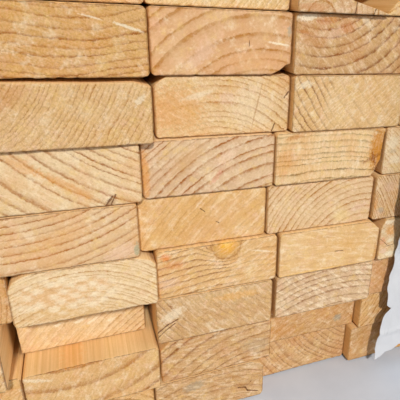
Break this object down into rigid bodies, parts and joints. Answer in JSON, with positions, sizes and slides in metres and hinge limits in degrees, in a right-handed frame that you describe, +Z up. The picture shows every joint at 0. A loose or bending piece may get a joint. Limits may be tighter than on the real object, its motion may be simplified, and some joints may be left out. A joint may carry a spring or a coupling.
{
  "type": "bundle of pine studs",
  "caption": "Strapped bundle of planed softwood two-by-four studs laid flat in layers, one end slightly ragged, with part of its white protective wrap.",
  "frame": {"origin": "middle of the bundle's bounding box at its underside, where the straps run", "axes": "+Z up, +Y along the studs away from the ragged end, +X across the bundle towards the wrapped side"},
  "size_m": [1.451, 2.4714, 0.5031],
  "materials": {
    "planed_pine": "matte, planed and sawn",
    "woven_wrap": "matte woven sheet",
    "steel_strap": "satin"
  },
  "bodies": {
    "root": {"layer_01_studs": "planed_pine", "layer_02_studs": "planed_pine", "layer_03_studs": "planed_pine", "layer_04_studs": "planed_pine", "layer_05_studs": "planed_pine", "layer_06_studs": "planed_pine", "layer_07_studs": "planed_pine", "layer_08_studs": "planed_pine", "layer_09_studs": "planed_pine", "layer_10_studs": "planed_pine", "layer_11_studs": "planed_pine", "layer_12_studs": "planed_pine", "layer_13_studs": "planed_pine", "seal_1": "steel_strap", "seal_2": "steel_strap", "seal_3": "steel_strap", "strap_1": "steel_strap", "strap_2": "steel_strap", "strap_3": "steel_strap", "stud_layer_01_place_13": "planed_pine", "stud_layer_01_place_14": "planed_pine", "stud_layer_01_place_15": "planed_pine", "stud_layer_01_place_16": "planed_pine", "stud_layer_02_place_13": "planed_pine", "stud_layer_02_place_14": "planed_pine", "stud_layer_02_place_15": "planed_pine", "stud_layer_02_place_16": "planed_pine", "stud_layer_03_place_13": "planed_pine", "stud_layer_03_place_14": "planed_pine", "stud_layer_03_place_15": "planed_pine", "stud_layer_03_place_16": "planed_pine", "stud_layer_04_place_13": "planed_pine", "stud_layer_04_place_14": "planed_pine", "stud_layer_04_place_15": "planed_pine", "stud_layer_04_place_16": "planed_pine", "stud_layer_05_place_13": "planed_pine", "stud_layer_05_place_14": "planed_pine", "stud_layer_05_place_15": "planed_pine", "stud_layer_05_place_16": "planed_pine", "stud_layer_06_place_13": "planed_pine", "stud_layer_06_place_14": "planed_pine", "stud_layer_06_place_15": "planed_pine", "stud_layer_06_place_16": "planed_pine", "stud_layer_07_place_13": "planed_pine", "stud_layer_07_place_14": "planed_pine", "stud_layer_07_place_15": "planed_pine", "stud_layer_07_place_16": "planed_pine", "stud_layer_08_place_13": "planed_pine", "stud_layer_08_place_14": "planed_pine", "stud_layer_08_place_15": "planed_pine", "stud_layer_08_place_16": "planed_pine", "stud_layer_09_place_13": "planed_pine", "stud_layer_09_place_14": "planed_pine", "stud_layer_09_place_15": "planed_pine", "stud_layer_09_place_16": "planed_pine", "wrap": "woven_wrap"}
  },
  "joints": []
}
